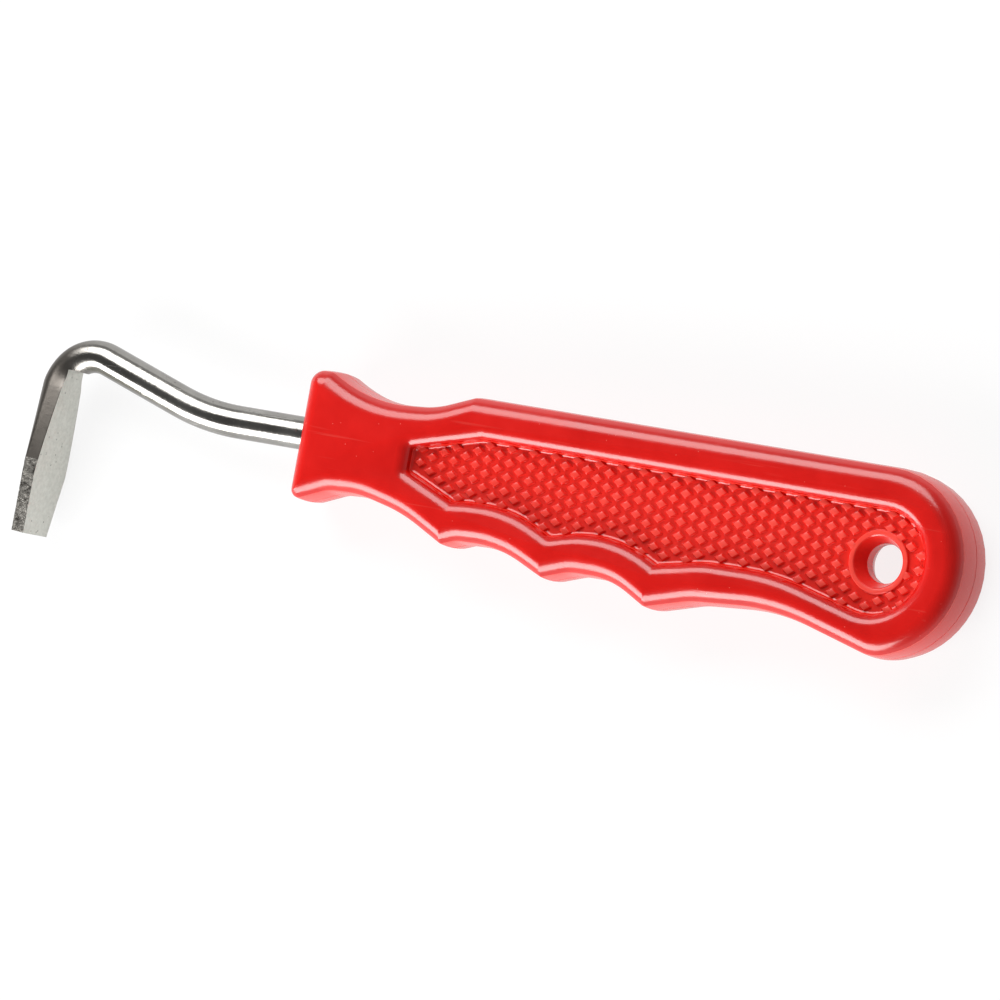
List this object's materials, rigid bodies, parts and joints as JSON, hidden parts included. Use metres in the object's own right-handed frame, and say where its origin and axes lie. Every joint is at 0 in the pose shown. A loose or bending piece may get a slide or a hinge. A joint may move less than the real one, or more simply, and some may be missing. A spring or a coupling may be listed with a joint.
{
  "type": "hoof pick",
  "caption": "Hoof pick: a plated steel bar cranked and hooked, forged flat at its scraping end, in a moulded handle with finger ridges, sunk gripping panels and a hanging hole.",
  "frame": {"origin": "on the surface that the handle lies on, under the middle of the whole tool's box", "axes": "+X along the handle away from the pick, +Y across the broad face towards the back of the hook, +Z out of the upper broad face"},
  "size_m": [0.157, 0.0321, 0.0115],
  "materials": {
    "plated_steel": "bright nickel plate over forged steel",
    "red_plastic": "glossy injection-moulded plastic"
  },
  "bodies": {
    "root": {"pick_rod": "plated_steel", "handle": "red_plastic"}
  },
  "joints": []
}
